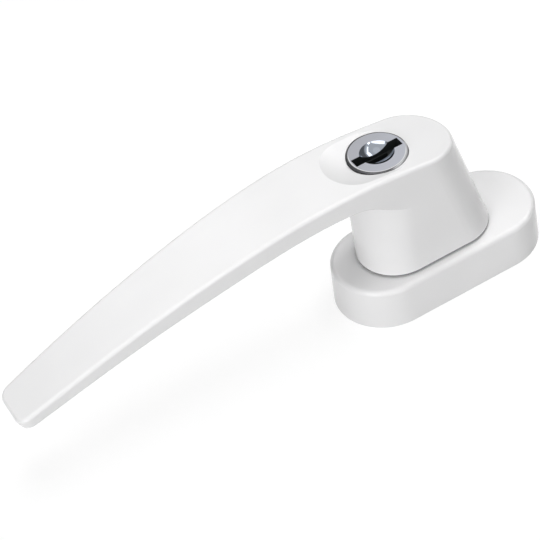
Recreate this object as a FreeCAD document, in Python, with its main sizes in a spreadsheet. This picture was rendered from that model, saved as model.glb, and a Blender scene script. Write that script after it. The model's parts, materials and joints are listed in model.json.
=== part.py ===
"""Locking window handle: a curved lever on an oval rose, with a key-operated bolt in its hub.

Frame, in millimetres: the origin is on the spindle axis at the mounting face, +Z points out
of the mounting face, +X runs along the rose and the lever points to -X. The handle stands
closed, with its bolt drawn.
"""
import FreeCAD, Part
import math
import os
import Sketcher

V = FreeCAD.Vector

# Driving dimensions: name, value in millimetres (angles in degrees) and what it measures.
SIZES = [
    ("cover_length", 64.4, "rose cover along X at the mounting face"),
    ("cover_width", 30.0, "rose cover along Y at the mounting face"),
    ("cover_height", 13.2, "rose cover above the mounting face"),
    ("cover_wall", 1.5, "wall of the cover, side and top"),
    ("cover_taper", 2.0, "draft of the cover's side in degrees"),
    ("cover_edge_round", 1.5, "round of the cover's top edge"),
    ("snap_height", 1.2, "snap rib of the cover above the mounting face"),
    ("snap_rib", 0.8, "height of the snap rib"),
    ("snap_reach", 0.45, "how far the snap rib stands in from the wall"),
    ("snap_length", 16.0, "length of the snap rib"),
    ("snap_root", 0.4, "how deep the snap rib's root lies in the wall"),
    ("plate_gap", 0.25, "mounting plate to cover, all round"),
    ("plate_height", 9.0, "mounting plate"),
    ("plate_rim", 1.6, "rim of the mounting plate round its end pockets"),
    ("end_pocket_depth", 6.0, "end pockets in the back of the plate"),
    ("chamber_depth", 4.4, "detent chamber in the back of the plate"),
    ("chamber_length", 26.0, "detent chamber along X"),
    ("chamber_width", 23.2, "detent chamber along Y"),
    ("screw_spacing", 43.0, "fixing screws, centre to centre"),
    ("screw_hole", 5.3, "diameter of a fixing hole"),
    ("screw_head", 9.4, "diameter of a fixing hole's countersink"),
    ("screw_boss", 11.6, "diameter of the boss round a fixing hole"),
    ("pin_hole_depth", 2.6, "lock hole in the plate"),
    ("inner_gap", 0.3, "free space at the ends of the bolt's stroke"),
    ("run_gap", 0.08, "radial clearance of a turning or sliding fit"),
    ("fit_gap", 0.03, "radial clearance of a fixed fit"),
    ("face_gap", 0.15, "clearance between faces that slide past each other"),
    ("neck_radius", 10.0, "neck of the lever inside the cover"),
    ("shank_radius", 8.5, "shank of the neck in its bush"),
    ("neck_end_radius", 7.8, "lower end of the neck, which carries the detent cam"),
    ("neck_flat", 7.0, "flats of the neck's lower end, from the axis"),
    ("neck_recess", 0.6, "lower end of the neck above the mounting face"),
    ("bush_wall", 0.95, "wall of the bearing bush"),
    ("bush_flange", 1.0, "thickness of the bush's flange"),
    ("bush_flange_radius", 10.2, "flange of the bush"),
    ("ring_wall", 0.6, "wall of the guide ring in the cover"),
    ("ring_lip", 0.5, "thickness of the guide ring's lip"),
    ("ring_lip_width", 0.4, "width of the guide ring's lip"),
    ("cam_across", 18.0, "detent cam across its flats"),
    ("cam_corner_radius", 10.6, "rounded corners of the detent cam"),
    ("cam_thickness", 2.0, "detent cam"),
    ("spring_thickness", 0.5, "detent leaf spring"),
    ("spring_height", 3.0, "detent leaf spring"),
    ("spring_seat", 2.5, "length of a spring's end in its slot"),
    ("spring_gap", 0.05, "detent spring to the cam's flat"),
    ("washer_thickness", 0.5, "washer under the detent cam"),
    ("washer_width", 1.05, "washer, radially"),
    ("clip_thickness", 0.7, "retaining ring of the neck"),
    ("clip_width", 1.4, "retaining ring, radially"),
    ("clip_groove", 0.5, "depth of the retaining ring's groove"),
    ("clip_opening", 8.0, "opening of the retaining ring"),
    ("spindle_square", 7.1, "spindle socket across its flats"),
    ("socket_depth", 30.0, "spindle socket"),
    ("sleeve_radius", 6.0, "drive sleeve"),
    ("sleeve_flat", 5.3, "flats of the drive sleeve, from the axis"),
    ("seam_gap", 0.5, "hub above the cover"),
    ("hub_half_width", 11.7, "half the width of the hub"),
    ("hub_rear", 11.9, "axis of the hub's round rear end from the spindle axis"),
    ("hub_front", 5.0, "axis of the hub's round front end at its foot"),
    ("hub_lean", 15.4, "lean of the hub's front end in degrees"),
    ("lever_reach", 129.4, "spindle axis to the tip of the lever"),
    ("crest_offset", 31.0, "highest line of the lever from the spindle axis"),
    ("crest_height", 51.1, "highest line of the lever above the mounting face"),
    ("mid_drop", 3.9, "top of the blade below the crest, a third of the way to the tip"),
    ("far_drop", 12.3, "top of the blade below the crest, two thirds of the way"),
    ("tip_drop", 23.6, "top of the tip below the crest"),
    ("shoulder_offset", 10.0, "a line across the top of the hub from the spindle axis"),
    ("shoulder_drop", 1.25, "top of the hub below the crest at that line"),
    ("brow_offset", 20.0, "where the top surface ends, ahead of the spindle axis"),
    ("brow_drop", 6.1, "top surface below the crest at its end"),
    ("crest_thickness", 6.35, "blade at the crest"),
    ("mid_thickness", 5.95, "blade a third of the way to the tip"),
    ("far_thickness", 5.0, "blade two thirds of the way"),
    ("tip_thickness", 3.7, "blade at the tip"),
    ("mid_half_width", 10.75, "half width of the blade a third of the way to the tip"),
    ("far_half_width", 9.15, "half width of the blade two thirds of the way"),
    ("tip_half_width", 7.0, "half width of the blade at the tip"),
    ("tip_flare", 4.9, "spread of the blade's flanks at the tip in degrees"),
    ("flank_joint", 10.0, "where the blade's flanks meet the hub's sides, from the hub's rear axis"),
    ("ramp_lead", 1.7, "where the underside turns down, ahead of the hub's rear end"),
    ("ramp_thickness", 7.15, "blade where the underside turns down"),
    ("ramp_half_drop", 3.75, "fall of the ramp half way"),
    ("ramp_drop", 6.85, "fall of the ramp to where it runs out on the hub's side"),
    ("tip_lean", 21.0, "lean of the lever's end face in degrees"),
    ("tip_trim", 0.3, "start of the leaning end face above the tip's top"),
    ("tip_corner", 3.5, "round of the tip's corners"),
    ("top_round", 1.0, "round of the top edge"),
    ("under_round", 0.5, "round of the blade's lower edge"),
    ("lock_offset", 14.0, "lock axis from the spindle axis"),
    ("lock_face_drop", 1.0, "face of the lock below the crest"),
    ("recess_radius", 9.85, "recess round the lock"),
    ("recess_round", 1.1, "round where the recess's floor meets its wall"),
    ("scoop_radius", 9.35, "thumb scoop"),
    ("scoop_length", 5.7, "thumb scoop beyond the lock axis"),
    ("scoop_depth", 1.7, "thumb scoop"),
    ("scoop_tilt", 5.2, "fall of the scoop towards the hub in degrees"),
    ("head_radius", 8.3, "head of the lock plug"),
    ("head_height", 3.5, "head of the lock plug"),
    ("head_edge", 0.25, "chamfer of the head"),
    ("head_gap", 0.2, "gap round and under the head"),
    ("barrel_radius", 4.9, "barrel of the lock plug"),
    ("dish_radius", 4.73, "dish in the plug's face"),
    ("dish_depth", 2.15, "dish in the plug's face"),
    ("slot_length", 14.4, "key slot in the face"),
    ("slot_width", 3.1, "key slot in the face"),
    ("slot_depth", 3.0, "key slot in the face"),
    ("keyway_length", 7.0, "keyway in the barrel"),
    ("keyway_width", 2.2, "keyway in the barrel"),
    ("housing_radius", 6.5, "lock housing"),
    ("retainer_radius", 0.6, "pin that keeps the plug in the housing"),
    ("retainer_length", 6.6, "that pin"),
    ("retainer_drop", 2.35, "that pin below the head"),
    ("dowel_radius", 1.0, "dowel that keeps the housing in the hub"),
    ("dowel_length", 10.0, "that dowel"),
    ("tumbler_pitch", 2.1, "tumblers, one to the next"),
    ("tumbler_thickness", 1.0, "a tumbler"),
    ("tumbler_reach", 4.5, "half the length of a tumbler"),
    ("tumbler_half_width", 1.8, "half the width of a tumbler"),
    ("tumbler_travel", 0.8, "how far a tumbler springs out with the key away"),
    ("tumbler_gap", 0.1, "tumbler in its slot"),
    ("ear_reach", 1.2, "ear of a tumbler, where its spring presses"),
    ("ear_width", 0.9, "ear of a tumbler, along its travel"),
    ("tumbler_spring_radius", 0.5, "tumbler spring"),
    ("tumbler_spring_length", 3.0, "tumbler spring"),
    ("hub_floor", 1.5, "floor of the hub under the lock housing"),
    ("bolt_radius", 1.75, "locking bolt"),
    ("bolt_travel", 7.0, "stroke of the locking bolt"),
    ("bolt_recess", 0.3, "tip of the drawn bolt above the hub's foot"),
    ("bolt_hole_gap", 0.2, "lock hole round the bolt"),
    ("cup_radius", 4.0, "cup of the bolt round the plug's tail"),
    ("cup_floor", 1.0, "floor of the cup"),
    ("tail_radius", 3.0, "tail of the lock plug"),
    ("tail_margin", 2.2, "tail below the lowest place of the cross pin"),
    ("cross_pin_radius", 0.8, "cross pin of the bolt"),
    ("cross_pin_length", 12.0, "cross pin of the bolt"),
    ("cup_margin", 1.8, "cup above the cross pin"),
]
TUMBLERS = 4
QUARTER = 90.0
# Two places nearer than this, in millimetres, are taken as one where an edge is looked for.
NEAR = 0.01

doc = FreeCAD.newDocument("window_handle")
sheet = doc.addObject("Spreadsheet::Sheet", "sizes")
for row, (alias, value, note) in enumerate(SIZES, start=1):
    sheet.set(f"A{row}", alias)
    sheet.set(f"B{row}", str(value))
    sheet.set(f"C{row}", note)
    sheet.setAlias(f"B{row}", alias)
doc.recompute()


class Size:
    """A length worked out from the sheet: its value, and the expression that keeps it bound."""

    def __init__(self, value, text):
        self.value = float(value)
        self.text = text

    def __float__(self):
        return self.value

    def _with(self, other, sign, swapped, work):
        other = other if isinstance(other, Size) else Size(other, repr(float(other)))
        first, second = (other, self) if swapped else (self, other)
        text = f"({first.text} {sign} {second.text})"
        return Size(work(first.value, second.value), text)

    def __add__(self, other):
        return self._with(other, "+", False, lambda a, b: a + b)

    def __radd__(self, other):
        return self._with(other, "+", True, lambda a, b: a + b)

    def __sub__(self, other):
        return self._with(other, "-", False, lambda a, b: a - b)

    def __rsub__(self, other):
        return self._with(other, "-", True, lambda a, b: a - b)

    def __mul__(self, other):
        return self._with(other, "*", False, lambda a, b: a * b)

    def __rmul__(self, other):
        return self._with(other, "*", True, lambda a, b: a * b)

    def __truediv__(self, other):
        return self._with(other, "/", False, lambda a, b: a / b)

    def __neg__(self):
        return Size(-self.value, f"(0 - {self.text})")


class Sheet:
    """The sheet's cells by name, such as s.cover_length."""

    def __getattr__(self, alias):
        return Size(sheet.get(alias), f"{sheet.Name}.{alias}")


s = Sheet()

# Heights and radii that several pieces share.
cover_inner_length = s.cover_length - 2 * s.cover_wall
cover_inner_radius = s.cover_width / 2 - s.cover_wall
cover_underside = s.cover_height - s.cover_wall
plate_radius = cover_inner_radius - s.plate_gap
plate_centre = cover_inner_length / 2 - cover_inner_radius
pin_hole_radius = s.bolt_radius + s.bolt_hole_gap
hub_foot = s.cover_height + s.seam_gap
bush_bore = s.shank_radius + s.run_gap
bush_radius = bush_bore + s.bush_wall
neck_shoulder = s.plate_height + s.face_gap
ring_bore = s.neck_radius + s.face_gap
ring_radius = ring_bore + s.ring_wall
cam_top = s.chamber_depth - s.face_gap
cam_bottom = cam_top - s.cam_thickness
washer_bottom = cam_bottom - s.washer_thickness
clip_bottom = washer_bottom - s.clip_thickness
washer_bore = s.neck_end_radius + s.fit_gap
spring_line = s.cam_across / 2 + s.spring_gap
spring_half_length = s.chamber_length / 2 + s.spring_seat
sleeve_top = s.neck_recess + s.socket_depth
lock_face = s.crest_height - s.lock_face_drop
head_bottom = lock_face - s.head_height
housing_top = head_bottom - s.head_gap
housing_floor = hub_foot + s.hub_floor
bolt_tip = hub_foot + s.bolt_recess
cup_bottom = housing_floor + s.inner_gap + s.bolt_travel
cup_bore_floor = cup_bottom + s.cup_floor
tail_bottom = cup_bore_floor + s.head_gap
pin_drawn = tail_bottom + s.tail_margin + s.bolt_travel
cup_top = pin_drawn + s.cup_margin
barrel_bottom = cup_top + s.inner_gap
first_tumbler = barrel_bottom + s.tumbler_thickness
retainer_height = head_bottom - s.retainer_drop
tumbler_slot = s.tumbler_thickness + 2 * s.tumbler_gap


def bind(target, path, size):
    """Give a property or a constraint its size, bound to the sheet where it comes from there."""
    if isinstance(size, Size):
        target.setExpression(path, size.text)
    else:
        target.setExpression(path, repr(float(size)))


def place(target, x=0, y=0, z=0):
    """Bind the place of an object."""
    for axis, value in (("x", x), ("y", y), ("z", z)):
        if isinstance(value, Size) or value:
            bind(target, f"Placement.Base.{axis}", value)


def turn(target, axis, degrees):
    target.Placement = FreeCAD.Placement(target.Placement.Base, FreeCAD.Rotation(axis, degrees))


def cylinder(name, radius, height, x=0, y=0, z=0, axis=None, degrees=0):
    """A Part cylinder, upright unless an axis and an angle turn it."""
    body = doc.addObject("Part::Cylinder", name)
    bind(body, "Radius", radius)
    bind(body, "Height", height)
    if axis is not None:
        turn(body, axis, degrees)
    place(body, x, y, z)
    return body


def box(name, length, width, height, x=0, y=0, z=0):
    """A Part box centred on x and y, with its floor at z."""
    body = doc.addObject("Part::Box", name)
    bind(body, "Length", length)
    bind(body, "Width", width)
    bind(body, "Height", height)
    place(body, x - length / 2, y - width / 2, z)
    return body


def cut(name, base, tool):
    result = doc.addObject("Part::Cut", name)
    result.Base = base
    result.Tool = tool
    return result


def fuse(name, shapes):
    result = doc.addObject("Part::MultiFuse", name)
    result.Shapes = shapes
    return result


def common(name, shapes):
    result = doc.addObject("Part::MultiCommon", name)
    result.Shapes = shapes
    return result


def new_body(name):
    return doc.addObject("PartDesign::Body", name)


def sketch(body, name, plane="XY_Plane", height=0):
    """A sketch on one of the body's own origin planes, lifted to a height."""
    flat = body.newObject("Sketcher::SketchObject", name)
    support = [item for item in body.Origin.OriginFeatures if item.Role == plane][0]
    flat.AttachmentSupport = [(support, "")]
    flat.MapMode = "FlatFace"
    if isinstance(height, Size) or height:
        bind(flat, "AttachmentOffset.Base.z", height)
    return flat


def pin_point(flat, geometry, point, x, y):
    """Tie a point of a sketch to its coordinates."""
    for kind, value, axis in (("DistanceX", x, -2), ("DistanceY", y, -1)):
        if isinstance(value, Size) or value:
            index = flat.addConstraint(Sketcher.Constraint(kind, geometry, point, float(value)))
            bind(flat, f"Constraints[{index}]", value)
        else:
            flat.addConstraint(Sketcher.Constraint("PointOnObject", geometry, point, axis))


def add_circle(flat, radius, x=0, y=0):
    circle = Part.Circle(V(float(x), float(y), 0), V(0, 0, 1), float(radius))
    geometry = flat.addGeometry(circle, False)
    index = flat.addConstraint(Sketcher.Constraint("Radius", geometry, float(radius)))
    bind(flat, f"Constraints[{index}]", radius)
    pin_point(flat, geometry, 3, x, y)


def add_polygon(flat, points):
    """A closed outline of straight lines, each corner tied to its coordinates."""
    corners = [V(float(x), float(y), 0) for x, y in points]
    lines = []
    for start, end in zip(corners, corners[1:] + corners[:1]):
        lines.append(flat.addGeometry(Part.LineSegment(start, end), False))
    for line, following in zip(lines, lines[1:] + lines[:1]):
        flat.addConstraint(Sketcher.Constraint("Coincident", line, 2, following, 1))
    for line, (x, y) in zip(lines, points):
        pin_point(flat, line, 1, x, y)


def add_rectangle(flat, x_low, x_high, y_low, y_high):
    add_polygon(flat, [(x_low, y_low), (x_high, y_low), (x_high, y_high), (x_low, y_high)])


def add_stadium(flat, centre, radius):
    """An outline of two half circles about x = centre and x = -centre, joined by straight sides."""
    c, r = float(centre), float(radius)
    right = flat.addGeometry(Part.ArcOfCircle(Part.Circle(V(c, 0, 0), V(0, 0, 1), r),
                                              -math.pi / 2, math.pi / 2), False)
    left = flat.addGeometry(Part.ArcOfCircle(Part.Circle(V(-c, 0, 0), V(0, 0, 1), r),
                                             math.pi / 2, 3 * math.pi / 2), False)
    upper = flat.addGeometry(Part.LineSegment(V(c, r, 0), V(-c, r, 0)), False)
    lower = flat.addGeometry(Part.LineSegment(V(-c, -r, 0), V(c, -r, 0)), False)
    for line, start, end in ((upper, right, left), (lower, left, right)):
        flat.addConstraint(Sketcher.Constraint("Tangent", start, 2, line, 1))
        flat.addConstraint(Sketcher.Constraint("Tangent", line, 2, end, 1))
    index = flat.addConstraint(Sketcher.Constraint("Radius", right, r))
    bind(flat, f"Constraints[{index}]", radius)
    pin_point(flat, right, 3, centre, 0)
    pin_point(flat, left, 3, -centre, 0)


def add_half_disc(flat, centre, radius, side):
    """A half circle about x = centre that bulges towards the side's sign, closed by a line."""
    c, r = float(centre), float(radius)
    start = -math.pi / 2 if side > 0 else math.pi / 2
    arc = flat.addGeometry(Part.ArcOfCircle(Part.Circle(V(c, 0, 0), V(0, 0, 1), r),
                                            start, start + math.pi), False)
    line = flat.addGeometry(Part.LineSegment(V(c, side * r, 0), V(c, -side * r, 0)), False)
    flat.addConstraint(Sketcher.Constraint("Coincident", arc, 2, line, 1))
    flat.addConstraint(Sketcher.Constraint("Coincident", line, 2, arc, 1))
    flat.addConstraint(Sketcher.Constraint("Vertical", line))
    flat.addConstraint(Sketcher.Constraint("PointOnObject", arc, 3, line))
    index = flat.addConstraint(Sketcher.Constraint("Radius", arc, r))
    bind(flat, f"Constraints[{index}]", radius)
    pin_point(flat, arc, 3, centre, 0)


def pad(body, flat, name, length):
    feature = body.newObject("PartDesign::Pad", name)
    feature.Profile = flat
    bind(feature, "Length", length)
    return feature


def pocket(body, flat, name, depth, upwards=False):
    """Cut below the sketch, or above it where upwards is set."""
    feature = body.newObject("PartDesign::Pocket", name)
    feature.Profile = flat
    bind(feature, "Length", depth)
    feature.Reversed = upwards
    return feature


def revolve(body, name, points, kind="PartDesign::Revolution"):
    """Turn a radius and height outline about the body's Z axis."""
    flat = sketch(body, name + "_profile", "XZ_Plane")
    add_polygon(flat, points)
    feature = body.newObject(kind, name)
    feature.Profile = flat
    feature.ReferenceAxis = (flat, ["V_Axis"])
    feature.Angle = 360
    return feature


def edges_at(feature, height, radius=None):
    """Names of a feature's level edges at a height, of one radius where that is given."""
    found = []
    for number, edge in enumerate(feature.Shape.Edges, start=1):
        bounds = edge.BoundBox
        level = abs(bounds.ZMin - float(height)) < NEAR and bounds.ZLength < NEAR
        round_enough = radius is None or (
            isinstance(edge.Curve, Part.Circle) and abs(edge.Curve.Radius - float(radius)) < NEAR)
        if level and round_enough:
            found.append(f"Edge{number}")
    return found


def dress(body, kind, name, base, edges, size_name, size):
    """A fillet or a chamfer on named edges."""
    feature = body.newObject(kind, name)
    feature.Base = (base, edges)
    bind(feature, size_name, size)
    return feature


def make_rose_cover():
    """The shell that shows: drafted sides, a round edge and holes for the neck and the bolt."""
    body = new_body("rose_cover")
    outline = sketch(body, "cover_outline")
    add_stadium(outline, s.cover_length / 2 - s.cover_width / 2, s.cover_width / 2)
    block = pad(body, outline, "cover_block", s.cover_height)
    bind(block, "TaperAngle", -s.cover_taper)
    doc.recompute()
    dress(body, "PartDesign::Fillet", "cover_round", block, edges_at(block, s.cover_height),
          "Radius", s.cover_edge_round)
    hollow = sketch(body, "cover_hollow")
    add_stadium(hollow, cover_inner_length / 2 - cover_inner_radius, cover_inner_radius)
    pocket(body, hollow, "cover_inside", cover_underside, upwards=True)
    ribs = sketch(body, "snap_rib_outline", height=s.snap_height)
    for side in (-1, 1):
        inside = side * (cover_inner_radius - s.snap_reach)
        outside = side * (cover_inner_radius + s.snap_root)
        low, high = (inside, outside) if side > 0 else (outside, inside)
        add_rectangle(ribs, -s.snap_length / 2, s.snap_length / 2, low, high)
    pad(body, ribs, "snap_ribs", s.snap_rib)
    holes = sketch(body, "cover_holes", height=s.cover_height)
    add_circle(holes, ring_radius + s.fit_gap)
    for side in (-1, 1):
        add_circle(holes, pin_hole_radius, side * s.lock_offset)
    pocket(body, holes, "cover_openings", s.cover_height)
    return body


def make_mounting_plate():
    """The cast plate that screws to the window and carries the neck, the springs and the bolt."""
    body = new_body("mounting_plate")
    outline = sketch(body, "plate_outline")
    add_stadium(outline, plate_centre, plate_radius)
    pad(body, outline, "plate_block", s.plate_height)
    seat = s.face_gap
    inner, outer = spring_line - seat, spring_line + s.spring_thickness + seat
    reach, end = s.chamber_length / 2, spring_half_length + seat
    wall = s.chamber_width / 2
    chamber = sketch(body, "chamber_outline")
    corner = [(reach, -wall), (reach, -outer), (end, -outer), (end, -inner), (reach, -inner)]
    right = corner + [(x, -y) for x, y in reversed(corner)]
    left = [(-x, -y) for x, y in right]
    add_polygon(chamber, right + left)
    pocket(body, chamber, "detent_chamber", s.chamber_depth, upwards=True)
    for side, where in ((-1, "rear"), (1, "front")):
        hollow = sketch(body, f"{where}_pocket_outline")
        add_half_disc(hollow, side * plate_centre, plate_radius - s.plate_rim, side)
        pocket(body, hollow, f"{where}_pocket", s.end_pocket_depth, upwards=True)
    screws = sketch(body, "screw_boss_outline")
    for side in (-1, 1):
        add_circle(screws, s.screw_boss / 2, side * s.screw_spacing / 2)
    pad(body, screws, "screw_bosses", s.plate_height)
    bore = sketch(body, "bush_bore_outline")
    add_circle(bore, bush_radius + s.fit_gap)
    pocket(body, bore, "bush_bore", s.plate_height, upwards=True)
    seat_outline = sketch(body, "bush_seat_outline", height=s.plate_height)
    add_circle(seat_outline, s.bush_flange_radius + s.fit_gap)
    pocket(body, seat_outline, "bush_seat", s.bush_flange)
    lock_holes = sketch(body, "lock_hole_outline", height=s.plate_height)
    for side in (-1, 1):
        add_circle(lock_holes, pin_hole_radius, side * s.lock_offset)
    pocket(body, lock_holes, "lock_holes", s.pin_hole_depth)
    screw_holes = sketch(body, "screw_hole_outline")
    for side in (-1, 1):
        add_circle(screw_holes, s.screw_hole / 2, side * s.screw_spacing / 2)
    drilled = pocket(body, screw_holes, "screw_holes", s.plate_height, upwards=True)
    doc.recompute()
    rims = edges_at(drilled, s.plate_height, s.screw_hole / 2)
    dress(body, "PartDesign::Chamfer", "countersinks", drilled, rims,
          "Size", s.screw_head / 2 - s.screw_hole / 2)
    grooves = sketch(body, "snap_groove_outline", height=s.snap_height - s.face_gap)
    for side in (-1, 1):
        inside = side * (cover_inner_radius - s.snap_reach - s.face_gap)
        outside = side * (plate_radius + s.plate_gap)
        low, high = (inside, outside) if side > 0 else (outside, inside)
        half = s.snap_length / 2 + s.face_gap
        add_rectangle(grooves, -half, half, low, high)
    pocket(body, grooves, "snap_grooves", s.snap_rib + 2 * s.face_gap, upwards=True)
    return body


def make_bearing_bush():
    """The flanged nylon bush that the lever's shank turns in."""
    body = new_body("bearing_bush")
    top = s.plate_height
    step = top - s.bush_flange
    foot = s.chamber_depth + s.face_gap
    revolve(body, "bush_turned", [(bush_bore, foot), (bush_radius, foot), (bush_radius, step),
                                  (s.bush_flange_radius, step), (s.bush_flange_radius, top),
                                  (bush_bore, top)])
    return body


def make_cover_guide_ring():
    """The nylon ring that keeps the neck off the cover's edge, with a lip under the cover."""
    body = new_body("cover_guide_ring")
    lip_top = cover_underside - s.fit_gap
    lip_bottom = lip_top - s.ring_lip
    lip_radius = ring_radius + s.ring_lip_width
    revolve(body, "ring_turned", [(ring_bore, lip_bottom), (lip_radius, lip_bottom),
                                  (lip_radius, lip_top), (ring_radius, lip_top),
                                  (ring_radius, s.cover_height), (ring_bore, s.cover_height)])
    return body


def make_detent_spring(name, side):
    """A flat spring with both ends in the plate's slots and its middle on the cam's flat."""
    body = new_body(name)
    strip = sketch(body, name + "_outline", height=cam_top - s.spring_height)
    near = side * spring_line
    far = side * (spring_line + s.spring_thickness)
    low, high = (near, far) if side > 0 else (far, near)
    add_rectangle(strip, -spring_half_length, spring_half_length, low, high)
    pad(body, strip, name + "_strip", s.spring_height)
    return body


def double_d(name, radius, flat, height, z):
    """A round bar with two flats that face +Y and -Y."""
    bar = cylinder(name + "_round", radius, height, z=z)
    slab = box(name + "_flats", 3 * radius, 2 * flat, height, z=z)
    return common(name, [bar, slab])


def make_detent_cam():
    """The square steel cam keyed to the neck: its four flats give the lever a stop each quarter."""
    plate = box("cam_square", s.cam_across, s.cam_across, s.cam_thickness, z=cam_bottom)
    corners = cylinder("cam_corners", s.cam_corner_radius, s.cam_thickness, z=cam_bottom)
    blank = common("cam_blank", [plate, corners])
    bore = double_d("cam_bore", washer_bore, s.neck_flat + s.fit_gap, s.cam_thickness, cam_bottom)
    return cut("detent_cam", blank, bore)


def make_retaining_washer():
    body = new_body("retaining_washer")
    outer = washer_bore + s.washer_width
    revolve(body, "washer_turned", [(washer_bore, washer_bottom), (outer, washer_bottom),
                                    (outer, cam_bottom), (washer_bore, cam_bottom)])
    return body


def make_neck_circlip():
    """The open spring ring in the neck's groove."""
    body = new_body("neck_circlip")
    bore = s.neck_end_radius - s.clip_groove + s.fit_gap
    outer = bore + s.clip_width
    revolve(body, "clip_turned", [(bore, clip_bottom), (outer, clip_bottom),
                                  (outer, washer_bottom), (bore, washer_bottom)])
    gap = sketch(body, "clip_gap_outline", height=clip_bottom)
    add_rectangle(gap, s.neck_flat / 2, outer + s.clip_width, -s.clip_opening / 2,
                  s.clip_opening / 2)
    pocket(body, gap, "clip_gap", s.clip_thickness, upwards=True)
    return body


def make_drive_sleeve():
    """The steel sleeve in the neck, with the square socket that the window's spindle enters."""
    blank = double_d("sleeve_blank", s.sleeve_radius, s.sleeve_flat, s.socket_depth,
                     s.neck_recess)
    square = box("sleeve_square", s.spindle_square, s.spindle_square, s.socket_depth,
                 z=s.neck_recess)
    return cut("drive_sleeve", blank, square)


def line(start, end):
    return Part.LineSegment(start, end).toShape()


def smooth(points, start_direction=None, end_direction=None):
    """A smooth curve through points, with end directions where they are given."""
    curve = Part.BSplineCurve()
    if start_direction is None:
        curve.interpolate(points)
    else:
        curve.interpolate(Points=points, InitialTangent=start_direction,
                          FinalTangent=end_direction)
    return curve.toShape()


def slab_of(edges, width):
    """A closed outline in the XZ plane drawn out to both sides of it."""
    solid = Part.Face(Part.Wire(edges)).extrude(V(0, width, 0))
    solid.translate(V(0, -width / 2, 0))
    return solid


def blade_stations():
    """X of the tip, of two thirds and one third of the way to it, and of the crest."""
    crest, tip = -s.crest_offset.value, -s.lever_reach.value
    step = (tip - crest) / 3
    return tip, crest + 2 * step, crest + step, crest


def hub_prism(top):
    """The hub as a column: upright at its rear, leaning back at its front, up to a height."""
    radius, foot = s.hub_half_width.value, hub_foot.value
    rear, front = -s.hub_rear.value, s.hub_front.value
    rise = top - foot
    shift = -rise * math.tan(math.radians(s.hub_lean.value))
    column = Part.makeCylinder(radius, rise, V(rear, 0, foot))
    disc = Part.Face(Part.Wire([Part.Circle(V(front, 0, foot), V(0, 0, 1), radius).toShape()]))
    leaning = disc.extrude(V(shift, 0, rise))
    middle = slab_of([line(V(rear, 0, foot), V(front, 0, foot)),
                      line(V(front, 0, foot), V(front + shift, 0, top)),
                      line(V(front + shift, 0, top), V(rear, 0, top)),
                      line(V(rear, 0, top), V(rear, 0, foot))], 2 * radius)
    return column.fuse([leaning, middle]).removeSplitter()


def blade_prism(top):
    """The blade's outline in plan, cut by its underside, up to a height."""
    tip, far, mid, crest = blade_stations()
    rear, radius = -s.hub_rear.value, s.hub_half_width.value
    joint = rear - s.flank_joint.value
    crest_z = s.crest_height.value
    widths = [V(tip, s.tip_half_width.value, 0), V(far, s.far_half_width.value, 0),
              V(mid, s.mid_half_width.value, 0), V(joint, radius, 0)]
    flare = math.tan(math.radians(s.tip_flare.value))
    upper = smooth(widths, V(1, flare, 0), V(1, 0, 0))
    mirror = FreeCAD.Matrix()
    mirror.A22 = -1
    lower = upper.transformGeometry(mirror)
    outline = [upper, line(V(joint, radius, 0), V(rear, radius, 0)),
               line(V(rear, radius, 0), V(rear, -radius, 0)),
               line(V(rear, -radius, 0), V(joint, -radius, 0)), lower,
               line(V(tip, -s.tip_half_width.value, 0), V(tip, s.tip_half_width.value, 0))]
    plan = Part.Face(Part.Wire(Part.__sortEdges__(outline))).extrude(V(0, 0, top))
    ramp = rear - radius - s.ramp_lead.value
    ramp_z = crest_z - s.ramp_thickness.value
    under = [V(tip, 0, crest_z - s.tip_drop.value - s.tip_thickness.value),
             V(far, 0, crest_z - s.far_drop.value - s.far_thickness.value),
             V(mid, 0, crest_z - s.mid_drop.value - s.mid_thickness.value),
             V(crest, 0, crest_z - s.crest_thickness.value), V(ramp, 0, ramp_z),
             V((ramp + rear) / 2, 0, ramp_z - s.ramp_half_drop.value),
             V(rear, 0, ramp_z - s.ramp_drop.value)]
    band = slab_of([smooth(under), line(under[-1], V(rear, 0, top)),
                    line(V(rear, 0, top), V(tip, 0, top)), line(V(tip, 0, top), under[0])],
                   4 * radius)
    return plan.common(band).cut(beyond_the_end())


def beyond_the_end():
    """A wedge below the tip that leaves an end face square to the blade there."""
    tip, depth = -s.lever_reach.value, 4 * s.tip_thickness.value
    edge = V(tip, 0, s.crest_height.value - s.tip_drop.value + s.tip_trim.value)
    foot = edge - V(0, 0, depth)
    inward = V(depth * math.tan(math.radians(s.tip_lean.value)), 0, 0)
    outline = [edge, foot + inward, foot - inward]
    return slab_of([line(a, b) for a, b in zip(outline, outline[1:] + outline[:1])],
                   4 * s.tip_half_width.value)


def arch_points():
    """The top of the lever along its middle, from the tip to the front of the hub."""
    tip, far, mid, crest = blade_stations()
    crest_z = s.crest_height.value
    return [V(tip, 0, crest_z - s.tip_drop.value), V(far, 0, crest_z - s.far_drop.value),
            V(mid, 0, crest_z - s.mid_drop.value), V(crest, 0, crest_z),
            V(-s.shoulder_offset.value, 0, crest_z - s.shoulder_drop.value),
            V(s.brow_offset.value, 0, crest_z - s.brow_drop.value)]


def arch_height(x):
    """Height of the lever's top at a place along it."""
    upright = line(V(x, 0, 0), V(x, 0, 2 * s.crest_height.value))
    return smooth(arch_points()).distToShape(upright)[1][0][0].z


def under_the_arch(width):
    """Everything below the lever's arched top."""
    arch = arch_points()
    tip, end = arch[0].x, arch[-1].x
    return slab_of([smooth(arch), line(arch[-1], V(end, 0, 0)), line(V(end, 0, 0), V(tip, 0, 0)),
                    line(V(tip, 0, 0), arch[0])], width)


def normal_height(face):
    """Z of a face's normal at its middle."""
    u, v = face.Surface.parameter(face.CenterOfMass)
    return face.normalAt(u, v).z


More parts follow.
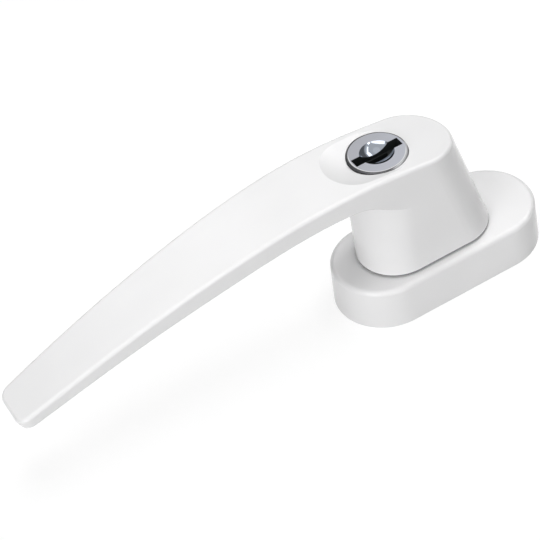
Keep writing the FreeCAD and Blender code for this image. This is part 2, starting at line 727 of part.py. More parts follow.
def longest_face(solid, side):
    """The longest face along X of those that look up, side 1, or down, side -1."""
    wanted = [face for face in solid.Faces if side * normal_height(face) > math.sqrt(0.5)]
    return max(wanted, key=lambda face: face.BoundBox.XLength)


def make_lever_casting():
    """The hub and the blade in one, with their edges rounded and the recess for the lock."""
    top = s.crest_height.value + 2 * s.hub_half_width.value
    tip = -s.lever_reach.value
    solid = hub_prism(top).fuse(blade_prism(top)).removeSplitter()
    solid = solid.common(under_the_arch(4 * s.hub_half_width.value)).removeSplitter()
    near_tip = tip + s.tip_thickness.value
    corners = [edge for edge in solid.Edges if edge.BoundBox.XMax < near_tip
               and edge.BoundBox.YLength < s.tip_trim.value]
    solid = solid.makeFillet(s.tip_corner.value, corners)
    solid = solid.makeFillet(s.top_round.value, longest_face(solid, 1).Edges)
    rear_end = -s.hub_rear.value - s.hub_half_width.value
    lower = [edge for edge in longest_face(solid, -1).Edges
             if edge.BoundBox.XMax < rear_end + 2 * s.ramp_lead.value]
    solid = solid.makeFillet(s.under_round.value, lower)
    for tool in lock_recess():
        solid = solid.cut(tool)
    casting = doc.addObject("Part::Feature", "lever_casting")
    casting.Shape = solid
    return casting


def lock_recess():
    """The thumb scoop, its run up to the lock, and the level half round that ends it."""
    centre = -s.lock_offset.value
    depth = s.scoop_depth.value
    ball_radius = (s.scoop_radius.value ** 2 + depth ** 2) / (2 * depth)
    length = s.scoop_length.value
    tilt = math.radians(s.scoop_tilt.value)
    middle = V(centre - length, 0, arch_height(centre - length) - depth + ball_radius)
    ball = Part.makeSphere(ball_radius, middle)
    ahead = Part.makeBox(2 * ball_radius, 2 * ball_radius, 2 * middle.z,
                         V(centre, -ball_radius, 0))
    run = Part.makeCylinder(ball_radius, 2 * length, middle,
                            V(math.cos(tilt), 0, -math.sin(tilt))).cut(ahead)
    beside_head = s.head_radius.value + s.head_gap.value
    floor = (middle.z - length * math.tan(tilt)
             - math.sqrt(ball_radius ** 2 - beside_head ** 2) / math.cos(tilt))
    radius = s.recess_radius.value
    well = Part.makeCylinder(radius, 2 * radius, V(centre, 0, floor))
    rim = [edge for edge in well.Edges
           if edge.BoundBox.ZMax < floor + NEAR and edge.BoundBox.ZLength < NEAR]
    well = well.makeFillet(s.recess_round.value, rim).common(ahead)
    return ball, run, well


def make_lever_handle():
    """The casting with its neck, bored for the drive sleeve, the lock housing and the bolt."""
    casting = make_lever_casting()
    neck = [cylinder("neck_top", s.neck_radius, hub_foot + s.face_gap - neck_shoulder,
                     z=neck_shoulder),
            cylinder("neck_shank", s.shank_radius, neck_shoulder - s.chamber_depth,
                     z=s.chamber_depth),
            double_d("neck_end", s.neck_end_radius, s.neck_flat, s.chamber_depth - s.neck_recess,
                     s.neck_recess)]
    blank = fuse("lever_blank", [casting] + neck)
    lock = -s.lock_offset
    ring = cylinder("clip_groove_outside", s.neck_radius, s.clip_thickness + 2 * s.fit_gap,
                    z=clip_bottom - s.fit_gap)
    core = cylinder("clip_groove_core", s.neck_end_radius - s.clip_groove,
                    s.clip_thickness + 2 * s.fit_gap, z=clip_bottom - s.fit_gap)
    bores = [double_d("sleeve_bore", s.sleeve_radius + s.fit_gap, s.sleeve_flat + s.fit_gap,
                      s.socket_depth + s.fit_gap, s.neck_recess),
             cylinder("housing_bore", s.housing_radius + s.fit_gap,
                      head_bottom - housing_floor, x=lock, z=housing_floor),
             cylinder("head_bore", s.head_radius + s.head_gap, s.crest_height - housing_top,
                      x=lock, z=housing_top),
             cylinder("bolt_bore", s.bolt_radius + s.run_gap, s.hub_floor + 2 * s.face_gap,
                      x=lock, z=hub_foot - s.face_gap),
             dowel("dowel_bore", s.dowel_radius + s.fit_gap),
             cut("clip_groove", ring, core)]
    return cut("lever_handle", blank, fuse("lever_bores", bores))


def dowel(name, radius):
    """A bar on the seam between the housing and the hub, on the diagonal clear of the slots."""
    reach = s.housing_radius * math.sqrt(0.5)
    return cylinder(name, radius, s.dowel_length, x=-s.lock_offset - reach, y=-reach,
                    z=housing_top - s.dowel_length)


def make_lock_housing():
    """The brass tube that guides the plug above and the bolt below."""
    body = new_body("housing_tube")
    bore = s.barrel_radius + s.run_gap
    chamber = s.cup_radius + s.bolt_hole_gap
    shoulder = barrel_bottom - s.face_gap
    revolve(body, "housing_turned", [(chamber, housing_floor), (s.housing_radius, housing_floor),
                                     (s.housing_radius, housing_top), (bore, housing_top),
                                     (bore, shoulder), (chamber, shoulder)])
    guide = sketch(body, "pin_guide_outline", height=pin_drawn - s.bolt_travel
                   - s.cross_pin_radius - s.face_gap)
    half = s.cross_pin_radius + s.face_gap
    add_rectangle(guide, -half, half, -2 * s.housing_radius, 2 * s.housing_radius)
    pocket(body, guide, "pin_guides", s.bolt_travel + 2 * half, upwards=True)
    grooves = sketch(body, "tumbler_groove_outline", height=first_tumbler - s.tumbler_gap)
    deep = s.tumbler_reach + s.tumbler_travel + 2 * s.tumbler_gap
    wide = s.tumbler_half_width + s.tumbler_gap
    add_cross(grooves, deep, wide)
    pocket(body, grooves, "tumbler_grooves", (TUMBLERS - 1) * s.tumbler_pitch + tumbler_slot
           + 2 * s.tumbler_gap, upwards=True)
    place(body, x=-s.lock_offset)
    holes = [retainer("retainer_hole", s.retainer_radius + s.fit_gap),
             dowel("housing_dowel_seat", s.dowel_radius + s.fit_gap)]
    return cut("lock_housing", body, fuse("housing_holes", holes))


def add_cross(flat, deep, wide):
    """A cross of two equal slots, as twelve corners."""
    arm = [(deep, -wide), (deep, wide), (wide, wide)]
    corners = []
    for _ in range(4):
        corners += arm
        arm = [(-y, x) for x, y in arm]
    add_polygon(flat, corners)


def retainer(name, radius):
    """A bar along X that crosses the groove of the barrel at one side."""
    return cylinder(name, radius, s.retainer_length, x=-s.lock_offset - s.retainer_length / 2,
                    y=s.barrel_radius, z=retainer_height, axis=V(0, 1, 0), degrees=QUARTER)


def make_plug_retaining_pin():
    return retainer("plug_retaining_pin", s.retainer_radius)


def make_housing_dowel():
    return dowel("housing_dowel", s.dowel_radius)


def tumbler_side(number):
    """Tumblers spring out to +X and to -X in turn."""
    return 1 if number % 2 else -1


def tumbler_height(number):
    return first_tumbler + (number - 1) * s.tumbler_pitch


def make_plug_blank():
    """The plug turned, dished, slotted and cut for its tumblers, without the cam slot."""
    body = new_body("plug_blank")
    groove_half = s.retainer_radius + s.tumbler_gap
    groove_radius = s.barrel_radius - s.retainer_radius - s.tumbler_gap
    edge = s.head_edge
    revolve(body, "plug_turned",
            [(0, tail_bottom), (s.tail_radius, tail_bottom), (s.tail_radius, barrel_bottom),
             (s.barrel_radius, barrel_bottom), (s.barrel_radius, retainer_height - groove_half),
             (groove_radius, retainer_height - groove_half),
             (groove_radius, retainer_height + groove_half),
             (s.barrel_radius, retainer_height + groove_half), (s.barrel_radius, head_bottom),
             (s.head_radius, head_bottom), (s.head_radius, lock_face - edge),
             (s.head_radius - edge, lock_face), (0, lock_face)])
    doc.recompute()
    ball = body.newObject("PartDesign::SubtractiveSphere", "plug_dish")
    support = [item for item in body.Origin.OriginFeatures if item.Role == "XY_Plane"][0]
    ball.AttachmentSupport = [(support, "")]
    ball.MapMode = "FlatFace"
    ball_radius = (s.dish_radius * s.dish_radius + s.dish_depth * s.dish_depth) / (2 * s.dish_depth)
    bind(ball, "Radius", ball_radius)
    bind(ball, "AttachmentOffset.Base.z", lock_face - s.dish_depth + ball_radius)
    slot = sketch(body, "key_slot_outline", height=lock_face)
    add_rectangle(slot, -s.slot_length / 2, s.slot_length / 2, -s.slot_width / 2,
                  s.slot_width / 2)
    pocket(body, slot, "key_slot", s.slot_depth)
    way = sketch(body, "keyway_outline", height=lock_face)
    add_rectangle(way, -s.keyway_length / 2, s.keyway_length / 2, -s.keyway_width / 2,
                  s.keyway_width / 2)
    pocket(body, way, "keyway", lock_face - first_tumbler + s.tumbler_gap)
    for number in range(1, TUMBLERS + 1):
        side = tumbler_side(number)
        base = tumbler_height(number) - s.tumbler_gap
        seat = sketch(body, f"tumbler_slot_{number}_outline", height=base)
        wide = s.tumbler_half_width + s.tumbler_gap
        reach = 2 * s.barrel_radius
        ear_y = s.tumbler_half_width + s.ear_reach + s.tumbler_gap
        inner = s.tumbler_spring_length + s.tumbler_gap
        outer = s.ear_width + s.tumbler_travel + s.tumbler_gap
        low, high = (-inner, outer) if side > 0 else (-outer, inner)
        add_polygon(seat, [(-reach, -wide), (reach, -wide), (reach, wide), (high, wide),
                           (high, ear_y), (low, ear_y), (low, wide), (-reach, wide)])
        pocket(body, seat, f"tumbler_slot_{number}", tumbler_slot, upwards=True)
    place(body, x=-s.lock_offset)
    return body


def make_cam_slot():
    """The left-hand slot through the plug's tail: a quarter turn clockwise drops the cross pin."""
    half = s.cross_pin_radius.value + s.face_gap.value
    lead = 4 * s.bolt_travel.value
    radius = s.tail_radius.value
    slope = math.atan(lead / (2 * math.pi * radius))
    across = half / math.sin(slope)
    margin = half
    low = pin_drawn.value - s.bolt_travel.value - margin
    rise = s.bolt_travel.value + 2 * margin
    reach = 1.5 * radius
    spine = Part.Wire([line(V(0, 0, 0), V(0, 0, rise))])
    helix = Part.makeHelix(lead, rise, radius, 0, True)
    outline = Part.makePolygon([V(-reach, -across, 0), V(reach, -across, 0), V(reach, across, 0),
                                V(-reach, across, 0), V(-reach, -across, 0)])
    sweep = Part.BRepOffsetAPI.MakePipeShell(spine)
    sweep.setAuxiliarySpine(Part.Wire(helix.Edges), True, 0)
    sweep.add(outline)
    sweep.build()
    sweep.makeSolid()
    solid = sweep.shape()
    turned_at_pin = QUARTER * (pin_drawn.value - low) / s.bolt_travel.value
    feature = doc.addObject("Part::Feature", "cam_slot")
    feature.Shape = solid
    feature.Placement = FreeCAD.Placement(V(-s.lock_offset.value, 0, low),
                                          FreeCAD.Rotation(V(0, 0, 1), QUARTER + turned_at_pin))
    return feature


def make_lock_plug():
    """The plug that the key turns, with its face, its barrel and its slotted tail."""
    return cut("lock_plug", make_plug_blank(), make_cam_slot())


def make_tumbler(number):
    """A brass plate that slides across the plug, with a window for the key and an ear."""
    body = new_body(f"tumbler_{number}")
    side = tumbler_side(number)
    flat = sketch(body, f"tumbler_{number}_outline", height=tumbler_height(number))
    reach, wide = s.tumbler_reach, s.tumbler_half_width
    low, high = (0, s.ear_width) if side > 0 else (-s.ear_width, 0)
    add_polygon(flat, [(-reach, -wide), (reach, -wide), (reach, wide), (high, wide),
                       (high, wide + s.ear_reach), (low, wide + s.ear_reach), (low, wide),
                       (-reach, wide)])
    window = s.keyway_length / 2 - s.tumbler_travel / 2
    half = s.keyway_width / 2
    add_rectangle(flat, -window, window, -half, half)
    pad(body, flat, f"tumbler_{number}_plate", s.tumbler_thickness)
    place(body, x=-s.lock_offset)
    return body


def make_tumbler_springs():
    """The four coil springs behind the tumblers' ears, each as the sleeve that its coils fill."""
    coils = []
    for number in range(1, TUMBLERS + 1):
        start = -s.tumbler_spring_length if tumbler_side(number) > 0 else s.fit_gap
        length = s.tumbler_spring_length - s.fit_gap
        where = {"x": start - s.lock_offset, "axis": V(0, 1, 0), "degrees": QUARTER,
                 "y": s.tumbler_half_width + s.ear_reach / 2 + s.fit_gap,
                 "z": tumbler_height(number) + s.tumbler_thickness / 2}
        outer = cylinder(f"coil_{number}_outside", s.tumbler_spring_radius, length, **where)
        inner = cylinder(f"coil_{number}_inside", s.tumbler_spring_radius / 2, length, **where)
        coils.append(cut(f"coil_{number}", outer, inner))
    return fuse("tumbler_springs", coils)


def make_locking_bolt():
    """The steel bolt: a pin that drops into the plate and a cup that fits over the plug's tail."""
    body = new_body("bolt_turned_part")
    bore = s.tail_radius + s.face_gap
    tip = s.bolt_recess
    revolve(body, "bolt_turned",
            [(0, bolt_tip), (s.bolt_radius - tip, bolt_tip), (s.bolt_radius, bolt_tip + tip),
             (s.bolt_radius, cup_bottom), (s.cup_radius, cup_bottom), (s.cup_radius, cup_top),
             (bore, cup_top), (bore, cup_bore_floor), (0, cup_bore_floor)])
    place(body, x=-s.lock_offset)
    return cut("locking_bolt", body, cross_pin("cross_pin_hole", s.cross_pin_radius + s.fit_gap))


def cross_pin(name, radius):
    half = s.cross_pin_length / 2
    return cylinder(name, radius, s.cross_pin_length, x=-s.lock_offset, y=half, z=pin_drawn,
                    axis=V(1, 0, 0), degrees=QUARTER)


def make_bolt_cross_pin():
    return cross_pin("bolt_cross_pin", s.cross_pin_radius)


def build():
    """Every piece of the handle, in the order in which it is put together."""
    pieces = [make_mounting_plate(), make_bearing_bush(), make_rose_cover(),
              make_cover_guide_ring(), make_detent_spring("detent_spring_front", -1),
              make_detent_spring("detent_spring_rear", 1), make_lever_handle(),
              make_drive_sleeve(), make_detent_cam(), make_retaining_washer(),
              make_neck_circlip(), make_lock_housing(), make_housing_dowel(),
              make_plug_retaining_pin(), make_lock_plug()]
    pieces += [make_tumbler(number) for number in range(1, TUMBLERS + 1)]
    pieces += [make_tumbler_springs(), make_locking_bolt(), make_bolt_cross_pin()]
    return pieces


def check(pieces):
    """Stop at a feature that failed or a piece whose shape is missing or broken."""
    for item in doc.Objects:
        if "Invalid" in item.State or "Error" in item.State:
            raise RuntimeError(f"{item.Name} could not be computed: {item.State}")
    for piece in pieces:
        if piece.Shape.isNull() or not piece.Shape.isValid() or not piece.Shape.Solids:
            raise RuntimeError(f"{piece.Label} has no sound shape")


pieces = build()
doc.recompute()
check(pieces)
os.makedirs("parts", exist_ok=True)
for piece in pieces:
    piece.Shape.exportStep(f"parts/{piece.Label}.step")
    bounds = piece.Shape.BoundBox
    print(f"{piece.Label:22s} solids {len(piece.Shape.Solids)} volume {piece.Shape.Volume:10.2f}"
          f" z {bounds.ZMin:7.2f} to {bounds.ZMax:7.2f}")
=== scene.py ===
"""Finishes, studio and camera for the locking window handle.

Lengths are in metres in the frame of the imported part: +Z out of the mounting face, the lever
towards -X. A finish works its patterns out in millimetres, from the place on the piece.
"""
import json
import math

import bpy
from mathutils import Matrix, Vector


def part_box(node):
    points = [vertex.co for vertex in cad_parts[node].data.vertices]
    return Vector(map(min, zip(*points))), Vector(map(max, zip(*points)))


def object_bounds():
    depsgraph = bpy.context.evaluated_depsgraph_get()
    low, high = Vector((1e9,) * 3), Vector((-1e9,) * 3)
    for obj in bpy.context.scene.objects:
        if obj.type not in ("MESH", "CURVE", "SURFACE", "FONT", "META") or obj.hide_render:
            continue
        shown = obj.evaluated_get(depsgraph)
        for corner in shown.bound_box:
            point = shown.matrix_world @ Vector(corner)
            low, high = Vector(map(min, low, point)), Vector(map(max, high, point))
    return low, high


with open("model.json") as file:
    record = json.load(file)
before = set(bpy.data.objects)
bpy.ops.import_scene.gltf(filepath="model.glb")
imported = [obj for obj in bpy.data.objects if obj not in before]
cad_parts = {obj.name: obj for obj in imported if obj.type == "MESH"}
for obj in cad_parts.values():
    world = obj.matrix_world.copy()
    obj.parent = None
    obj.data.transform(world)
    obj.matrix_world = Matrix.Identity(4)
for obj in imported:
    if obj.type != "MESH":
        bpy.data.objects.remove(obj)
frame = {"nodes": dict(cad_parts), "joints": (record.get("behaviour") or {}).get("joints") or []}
cad_box = [list(corner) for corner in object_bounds()]

MM = 0.001

# The camera, solved from the outlines of the rose, the hub and the lock in the photograph.
# Angles are in degrees, and an azimuth of 0 looks along +Y. Pixels count from the frame's upper
# left corner, and the sensor's width is in millimetres, as Blender takes it.
FRAME_PIXELS = 540
CAMERA_AZIMUTH = -21.33
CAMERA_ELEVATION = 44.18
CAMERA_ROLL = -12.18
CAMERA_DISTANCE = 0.49088
ORIGIN_PIXEL = (436.6, 262.17)
FOCAL_PIXELS = 1710.96
SENSOR_WIDTH = 36.0
NEAREST_SEEN = 0.01
FARTHEST_SEEN = 20.0

# Places on the handle that its finishes follow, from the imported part.
LOCK_AXIS = Vector(next(j for j in frame["joints"] if j["name"] == "plug_turn")["pos_m"])
LOCK_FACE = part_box("lock_plug")[1].z
COVER_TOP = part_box("rose_cover")[1].z
# The lock's face in millimetres: its dish and key slot, as in the part's source, the rim round
# it, painted dark as painted shade, and the ring inside that rim, painted bright on its near left
# as a painted highlight.
HEAD_RADIUS = (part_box("lock_plug")[1].x - LOCK_AXIS.x) / MM
DISH_RADIUS = 4.73
SLOT_LENGTH = 14.4
SLOT_WIDTH = 3.1
RIM_WIDTH = 0.44
HIGHLIGHT_RING_WIDTH = 0.3
# How far above the cover the lever's white coat starts, in millimetres; below it the lever is
# painted dark grey, a painted shadow along the seam between hub and cover.
HUB_SEAM_SHADE = 0.9

# The studio's lamps: azimuth and elevation that they shine from, in degrees, their distance,
# width and height in metres, and how bright a white surface that faces one alone would render.
LAMPS = {
    "low_left": (-54, 15, 1.2, 0.6, 0.6, 0.475),
    "low_front": (-10, 15, 1.2, 0.6, 0.6, 0.1),
    "left_strip": (-46, 51, 1.2, 1.6, 0.34, 0.25),
    "right_strip": (68, 50, 1.2, 0.7, 0.14, 0.045),
    "right_box": (100, 50, 1.2, 0.34, 0.34, 0.055),
    "front_box": (20, 40, 1.2, 0.25, 0.22, 0.055),
    "rear_gloss": (-170, 47, 1.2, 0.4, 0.4, 0.019),
    "near_rear": (120, 45, 0.5, 0.25, 0.25, 0.308),
    "near_top": (10, 88, 0.4, 0.2, 0.2, 0.355),
}
# Lamps whose light falls on the handle, but whose own shape shows in no mirror.
UNMIRRORED = ("near_rear", "near_top")
# The studio's own dim light, and what mirrors see of it: walls, a pale ceiling above them and a
# paler patch overhead. Each edge is the two elevations, in degrees, between which one of these
# turns into the next.
AMBIENT = 0.04
MIRRORED_WALL = 0.2
MIRRORED_CEILING = 0.9
MIRRORED_TOP = 1.1
CEILING_EDGE = (30, 42)
TOP_EDGE = (70, 78)
# The floor: half its width, how far it lies under the handle, the grey that it throws back on
# the handle, and what the camera and mirrors see, which is a glow with the lamps' light on it.
FLOOR_HALF = 3.0
FLOOR_DROP = 0.02 * MM
FLOOR_GREY = 0.5
FLOOR_GLOW = 0.76
FLOOR_SHADE = 0.32


def direction(azimuth, elevation):
    """The way from the handle to a place round it, by two angles in degrees."""
    a, e = math.radians(azimuth), math.radians(elevation)
    return Vector((math.sin(a) * math.cos(e), -math.cos(a) * math.cos(e), math.sin(e)))


def grey(level):
    """A colour with its three parts alike."""
    return (level, level, level)


class Value:
    """A number that varies over a surface. Arithmetic on it adds Math nodes."""

    def __init__(self, nodes, socket):
        self.nodes = nodes
        self.socket = socket

    def maths(self, operation, *others):
        """What a Math node makes of this value and others."""
        node = self.nodes.add("ShaderNodeMath", {"operation": operation},
                              dict(enumerate((self,) + others)))
        return Value(self.nodes, node.outputs[0])

    def __add__(self, other):
        return self.maths("ADD", other)

    __radd__ = __add__

    def __sub__(self, other):
        return self.maths("SUBTRACT", other)

    def __rsub__(self, other):
        return self.maths("MULTIPLY_ADD", -1.0, other)

    def __mul__(self, other):
        return self.maths("MULTIPLY", other)

    __rmul__ = __mul__

    def __truediv__(self, other):
        return self.maths("DIVIDE", other)

    def __abs__(self):
        return self.maths("ABSOLUTE")

    def __pow__(self, other):
        return self.maths("POWER", other)

    def step(self, low, high):
        """0 below low and 1 above high, smooth between them; falling where low is the larger."""
        node = self.nodes.add("ShaderNodeMapRange", {"interpolation_type": "SMOOTHSTEP"},
                              {"Value": self, "From Min": low, "From Max": high})
        return Value(self.nodes, node.outputs["Result"])

    def over(self, limit, blur):
        """1 where the value is over a limit and 0 under it, blurred to either side of it."""
        return self.step(limit - blur, limit + blur)

    def under(self, limit, blur):
        """1 where the value is under a limit and 0 over it, blurred to either side of it."""
        return self.step(limit + blur, limit - blur)


class Nodes:
    """A node tree that is being filled."""

    def __init__(self, owner):
        owner.use_nodes = True
        self.tree = owner.node_tree

    def add(self, kind, settings=None, sockets=None):
        """A node: its settings come first, then the values or links of its sockets."""
        node = self.tree.nodes.new(kind)
        for name, value in (settings or {}).items():
            setattr(node, name, value)
        for key, value in (sockets or {}).items():
            self.plug(node.inputs[key], value)
        return node

    def plug(self, socket, value):
        """Link a socket to a value or to another socket, or set it to a number or a colour."""
        if isinstance(value, Value):
            value = value.socket
        if isinstance(value, bpy.types.NodeSocket):
            self.tree.links.new(value, socket)
        elif socket.type == "RGBA":
            socket.default_value = (*value, 1.0)
        else:
            socket.default_value = value

    def split(self, vector):
        """A vector's three parts."""
        node = self.add("ShaderNodeSeparateXYZ", None, {0: vector})
        return [Value(self, output) for output in node.outputs]

    def mix(self, factor, first, second):
        """A colour between two, by a factor."""
        node = self.add("ShaderNodeMix", {"data_type": "RGBA"}, {0: factor, 6: first, 7: second})
        return node.outputs[2]


class Finish(Nodes):
    """A material whose pattern is made of nodes and whose constants sit on its shader."""

    def __init__(self, name, **constants):
        self.material = bpy.data.materials.new(name)
        super().__init__(self.material)
        self.shader = self.tree.nodes["Principled BSDF"]
        for socket, value in constants.items():
            self.shader.inputs[socket.replace("_", " ")].default_value = value
        self.place = self.add("ShaderNodeTexCoord").outputs["Object"]

    def axes(self, centre=(0.0, 0.0, 0.0)):
        """The place on the piece from a centre, in millimetres, as three values."""
        from_centre = self.add("ShaderNodeVectorMath", {"operation": "SUBTRACT"},
                               {0: self.place, 1: centre}).outputs[0]
        return [part / MM for part in self.split(from_centre)]

    def stretched(self, x, y, z):
        """The place on the piece with each axis drawn out by its own factor."""
        return self.add("ShaderNodeVectorMath", {"operation": "MULTIPLY"},
                        {0: self.place, 1: (x, y, z)}).outputs[0]

    def joined(self, x, y, z):
        """Three values as one place."""
        return self.add("ShaderNodeCombineXYZ", None, {0: x, 1: y, 2: z}).outputs[0]

    def noise(self, grain, detail, place=None):
        """Mottling with grains of a size in millimetres, about 0.5 on average."""
        node = self.add("ShaderNodeTexNoise", None,
                        {"Vector": place or self.place, "Scale": 1 / (grain * MM),
                         "Detail": detail})
        return Value(self, node.outputs["Fac"])

    def colour(self, value):
        self.plug(self.shader.inputs["Base Color"], value)

    def roughness(self, value):
        self.plug(self.shader.inputs["Roughness"], value)

    def metallic(self, value):
        self.plug(self.shader.inputs["Metallic"], value)

    def relief(self, height, depth):
        """Bumps of a depth in millimetres where the height goes from 0 to 1."""
        bump = self.add("ShaderNodeBump", None, {"Height": height, "Distance": depth * MM})
        self.plug(self.shader.inputs["Normal"], bump.outputs[0])


def radius(x, y):
    """Distance from an axis."""
    return (x * x + y * y) ** 0.5


def finish_nodes(finish, *nodes):
    """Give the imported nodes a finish."""
    for name in nodes:
        slots = frame["nodes"][name].data.materials
        slots.clear()
        slots.append(finish.material)


def powder_coat(name, shade_top):
    """Smooth white powder coat with a faint orange peel; below a height it is painted dark grey
    as seam shade.
    """
    white = (0.888, 0.886, 0.89)
    duller_white = (0.868, 0.866, 0.87)
    seam_shade_grey = (0.3, 0.3, 0.31)
    finish = Finish(name, Specular_IOR_Level=0.45)
    height = finish.axes()[2]
    peel = finish.noise(1.3, detail=1.0)
    grain = finish.noise(0.22, detail=2.0)
    cloud = finish.noise(18.0, detail=1.0)
    # Painted shade: below the given height the coat turns a dark, half-metallic grey that stands
    # in for the shadow in the seam under the hub.
    seam_shade = height.under(shade_top, blur=0.05)
    coat = finish.mix(cloud.over(0.5, blur=0.2), duller_white, white)
    finish.colour(finish.mix(seam_shade, coat, seam_shade_grey))
    finish.metallic(seam_shade * 0.6)
    finish.roughness(0.13 + 0.05 * peel + 0.03 * grain)
    finish.relief(peel + 0.12 * grain, 0.0008)
    return finish


def lock_face():
    """Nickel plug: satin face with a painted reflection, a painted highlight ring, a polished
    dish, and a side and slot painted dark as painted shade.

    x, y and z run from the middle of the lock's face, in millimetres. A margin takes the walls
    of a cut into the cut's own finish.
    """
    polished = (0.36, 0.39, 0.44)
    satin_shaded = (0.62, 0.63, 0.68)
    satin_lit = (0.69, 0.71, 0.78)
    # The white of the painted highlight ring.
    bright = (0.96, 0.97, 0.98)
    # Painted shade for the head's side and rim, and a lighter metal for a painted highlight on
    # it.
    side_shade_dark = (0.12, 0.12, 0.125)
    side_highlight_metal = (0.7, 0.7, 0.72)
    slot_shade_black = (0.012, 0.014, 0.014)
    slot_margin, slot_blur = 0.025, 0.015
    dish_margin, dish_blur = 0.06, 0.04
    rim = HEAD_RADIUS - RIM_WIDTH
    finish = Finish("satin_nickel", Specular_IOR_Level=0.5)
    x, y, z = finish.axes((LOCK_AXIS.x, LOCK_AXIS.y, LOCK_FACE))
    r = radius(x, y)
    in_slot = (abs(y).under(SLOT_WIDTH / 2 + slot_margin, slot_blur)
               * abs(x).under(SLOT_LENGTH / 2 + slot_margin, slot_blur)
               * z.under(-0.05, blur=0.03))
    on_face = r.over(DISH_RADIUS + dish_margin, dish_blur) * z.over(-0.04, blur=0.02)
    on_side = r.over(rim, blur=0.06)
    # Painted highlight: a bright ring inside the rim, on the near left side only.
    near_left = (0.5 * x + y).under(0.0, blur=2.0)
    on_highlight_ring = r.over(rim - HIGHLIGHT_RING_WIDTH, blur=0.05) * near_left
    turned = finish.noise(0.09, detail=3.0, place=finish.joined(r * MM, 0.0, 0.0))
    # Painted reflection: the satin face is painted lighter towards the near right, with random
    # mottle.
    near_right = x - y
    sheen_and_mottle = near_right + 3.0 * finish.noise(0.3, detail=3.0)
    satin = finish.mix(sheen_and_mottle.over(1.5, blur=12.5), satin_shaded, satin_lit)
    metal = finish.mix(on_face, polished, finish.mix(on_highlight_ring, satin, bright))
    # Painted shade: the side and rim are painted near black, with a painted highlight of lighter
    # metal towards the near right.
    side = finish.mix(near_right.over(8.5, blur=1.5), side_shade_dark, side_highlight_metal)
    # Painted shade: the key slot is painted black, and the slot and side are made rougher.
    slot_and_side_shade = in_slot.maths("MAXIMUM", on_side)
    finish.colour(finish.mix(slot_and_side_shade, metal, finish.mix(on_side, slot_shade_black, side)))
    finish.metallic(1.0 - in_slot)
    finish.roughness(0.07 + 0.25 * on_face + 0.05 * turned * on_face + 0.4 * slot_and_side_shade)
    finish.relief(turned, 0.0006)
    return finish


def steel(name, colour, least_rough):
    """Plated or rolled steel with faint mottling."""
    darker = [0.82 * part for part in colour]
    finish = Finish(name, Metallic=1.0)
    mottle = finish.noise(2.0, detail=3.0)
    lines = finish.noise(0.25, detail=3.0, place=finish.stretched(0.2, 1.0, 1.0))
    finish.colour(finish.mix(mottle, darker, colour))
    finish.roughness(least_rough + 0.12 * lines)
    finish.relief(lines, 0.002)
    return finish


def casting():
    """Bare zinc die casting: grey, finely mottled and a little rough."""
    dark, pale = (0.42, 0.43, 0.45), (0.56, 0.57, 0.59)
    finish = Finish("zinc_casting", Metallic=0.9)
    mottle = finish.noise(2.4, detail=4.0)
    grain = finish.noise(0.35, detail=3.0)
    finish.colour(finish.mix(mottle, dark, pale))
    finish.roughness(0.38 + 0.2 * mottle)
    finish.relief(grain + mottle, 0.02)
    return finish


def nylon():
    """Natural nylon, faintly clouded."""
    yellowish, pale = (0.72, 0.715, 0.68), (0.8, 0.795, 0.77)
    finish = Finish("nylon", Subsurface_Weight=0.15, Subsurface_Scale=1.0 * MM)
    cloud = finish.noise(1.5, detail=2.0)
    finish.colour(finish.mix(cloud, yellowish, pale))
    finish.roughness(0.45 + 0.1 * cloud)
    finish.relief(finish.noise(0.3, detail=2.0), 0.004)
    return finish


def brass():
    """Turned brass with fine rings about the lock's axis."""
    dark, bright = (0.62, 0.44, 0.2), (0.74, 0.56, 0.27)
    finish = Finish("brass", Metallic=1.0)
    x, y, z = finish.axes((LOCK_AXIS.x, LOCK_AXIS.y, LOCK_FACE))
    along = finish.joined(radius(x, y) * MM, z * MM, 0.0)
    rings = finish.noise(0.12, detail=3.0, place=along)
    cloud = finish.noise(2.0, detail=3.0)
    finish.colour(finish.mix(cloud, dark, bright))
    finish.roughness(0.25 + 0.15 * rings)
    finish.relief(rings, 0.002)
    return finish


def dress_handle():
    """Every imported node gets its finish."""
    below_handle = -1.0
    finish_nodes(powder_coat("white_powder_coat", below_handle), "rose_cover")
    finish_nodes(powder_coat("white_powder_coat_lever", COVER_TOP / MM + HUB_SEAM_SHADE),
                 "lever_handle")
    finish_nodes(lock_face(), "lock_plug")
    finish_nodes(casting(), "mounting_plate")
    finish_nodes(nylon(), "bearing_bush", "cover_guide_ring")
    finish_nodes(steel("spring_steel", (0.42, 0.43, 0.45), least_rough=0.25),
                 "detent_spring_front", "detent_spring_rear", "neck_circlip", "tumbler_springs")
    finish_nodes(steel("plated_steel", (0.62, 0.63, 0.66), least_rough=0.22),
                 "drive_sleeve", "detent_cam", "retaining_washer", "housing_dowel",
                 "plug_retaining_pin", "locking_bolt", "bolt_cross_pin")
    finish_nodes(brass(), "lock_housing", "tumbler_1", "tumbler_2", "tumbler_3", "tumbler_4")


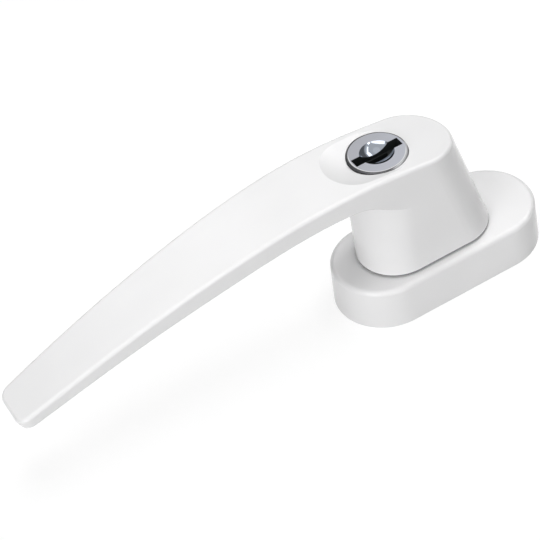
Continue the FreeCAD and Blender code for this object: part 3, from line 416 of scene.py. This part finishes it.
def make_floor():
    """A grey floor that keeps a soft shadow; the camera and mirrors see it close to white."""
    half = FLOOR_HALF
    mesh = bpy.data.meshes.new("floor")
    mesh.from_pydata([(-half, -half, 0), (half, -half, 0), (half, half, 0), (-half, half, 0)],
                     [], [(0, 1, 2, 3)])
    floor = bpy.data.objects.new("floor", mesh)
    bpy.context.scene.collection.objects.link(floor)
    finish = Finish("pale_floor", Roughness=0.9, Specular_IOR_Level=0.1)
    finish.colour(grey(FLOOR_GREY))
    path = finish.add("ShaderNodeLightPath").outputs
    seen = Value(finish, path["Is Camera Ray"])
    for ray in ("Is Glossy Ray", "Is Transmission Ray"):
        seen = seen.maths("MAXIMUM", path[ray])
    glow = finish.add("ShaderNodeEmission", None, {"Color": grey(1.0), "Strength": FLOOR_GLOW})
    shaded = finish.add("ShaderNodeBsdfDiffuse", None, {"Color": grey(FLOOR_SHADE)})
    white = finish.add("ShaderNodeAddShader", None, {0: glow.outputs[0], 1: shaded.outputs[0]})
    blend = finish.add("ShaderNodeMixShader", None,
                       {0: seen, 1: finish.shader.outputs[0], 2: white.outputs[0]})
    output = finish.tree.nodes["Material Output"]
    finish.plug(output.inputs["Surface"], blend.outputs[0])
    mesh.materials.append(finish.material)
    floor.location.z = -FLOOR_DROP


def make_world():
    """Dim light from all round; mirrors see walls, a pale ceiling and a paler patch overhead."""
    world = bpy.data.worlds.new("studio")
    nodes = Nodes(world)
    towards = nodes.add("ShaderNodeTexCoord").outputs["Generated"]
    height = nodes.split(towards)[2]
    mirrored = grey(MIRRORED_WALL)
    for edge, level in ((CEILING_EDGE, MIRRORED_CEILING), (TOP_EDGE, MIRRORED_TOP)):
        low, high = [math.sin(math.radians(elevation)) for elevation in edge]
        mirrored = nodes.mix(height.step(low, high), mirrored, grey(level))
    glossy = nodes.add("ShaderNodeLightPath").outputs["Is Glossy Ray"]
    colour = nodes.mix(glossy, grey(AMBIENT), mirrored)
    nodes.plug(nodes.tree.nodes["Background"].inputs["Color"], colour)
    bpy.context.scene.world = world


def make_lamp(name, azimuth, elevation, distance, width, height, level):
    """A softbox that looks at the handle. A white surface that faces it renders at its level."""
    light = bpy.data.lights.new(name, "AREA")
    light.shape = "RECTANGLE"
    light.size, light.size_y = width, height
    # Its power falls on the handle over pi * distance ** 2, and white shows 1 / pi of what falls.
    light.energy = level * math.pi ** 2 * distance ** 2
    lamp = bpy.data.objects.new(name, light)
    aim = sum(map(Vector, cad_box), Vector()) / 2
    towards = direction(azimuth, elevation)
    lamp.location = aim + towards * distance
    lamp.rotation_mode = "QUATERNION"
    lamp.rotation_quaternion = towards.to_track_quat("Z", "Y")
    lamp.visible_glossy = name not in UNMIRRORED
    bpy.context.scene.collection.objects.link(lamp)


def make_camera():
    """The photograph's camera, from where the origin lies in the frame."""
    back = direction(CAMERA_AZIMUTH, CAMERA_ELEVATION)
    azimuth, roll = math.radians(CAMERA_AZIMUTH), math.radians(CAMERA_ROLL)
    level = Vector((math.cos(azimuth), math.sin(azimuth), 0))
    upright = back.cross(level)
    right = level * math.cos(roll) + upright * math.sin(roll)
    up = upright * math.cos(roll) - level * math.sin(roll)
    middle = FRAME_PIXELS / 2
    aside, above = [(middle - pixel) * CAMERA_DISTANCE / FOCAL_PIXELS for pixel in ORIGIN_PIXEL]
    camera = bpy.data.cameras.new("photograph")
    camera.sensor_width = SENSOR_WIDTH
    camera.lens = FOCAL_PIXELS / FRAME_PIXELS * SENSOR_WIDTH
    camera.clip_start, camera.clip_end = NEAREST_SEEN, FARTHEST_SEEN
    seat = bpy.data.objects.new("photograph", camera)
    place = right * aside - up * above + back * CAMERA_DISTANCE
    turned = Matrix((right, up, back)).transposed()
    seat.matrix_world = Matrix.Translation(place) @ turned.to_4x4()
    bpy.context.scene.collection.objects.link(seat)
    bpy.context.scene.camera = seat


dress_handle()
make_floor()
make_world()
for lamp_name, facts in LAMPS.items():
    make_lamp(lamp_name, *facts)
make_camera()
bpy.context.scene.view_settings.view_transform = "Standard"
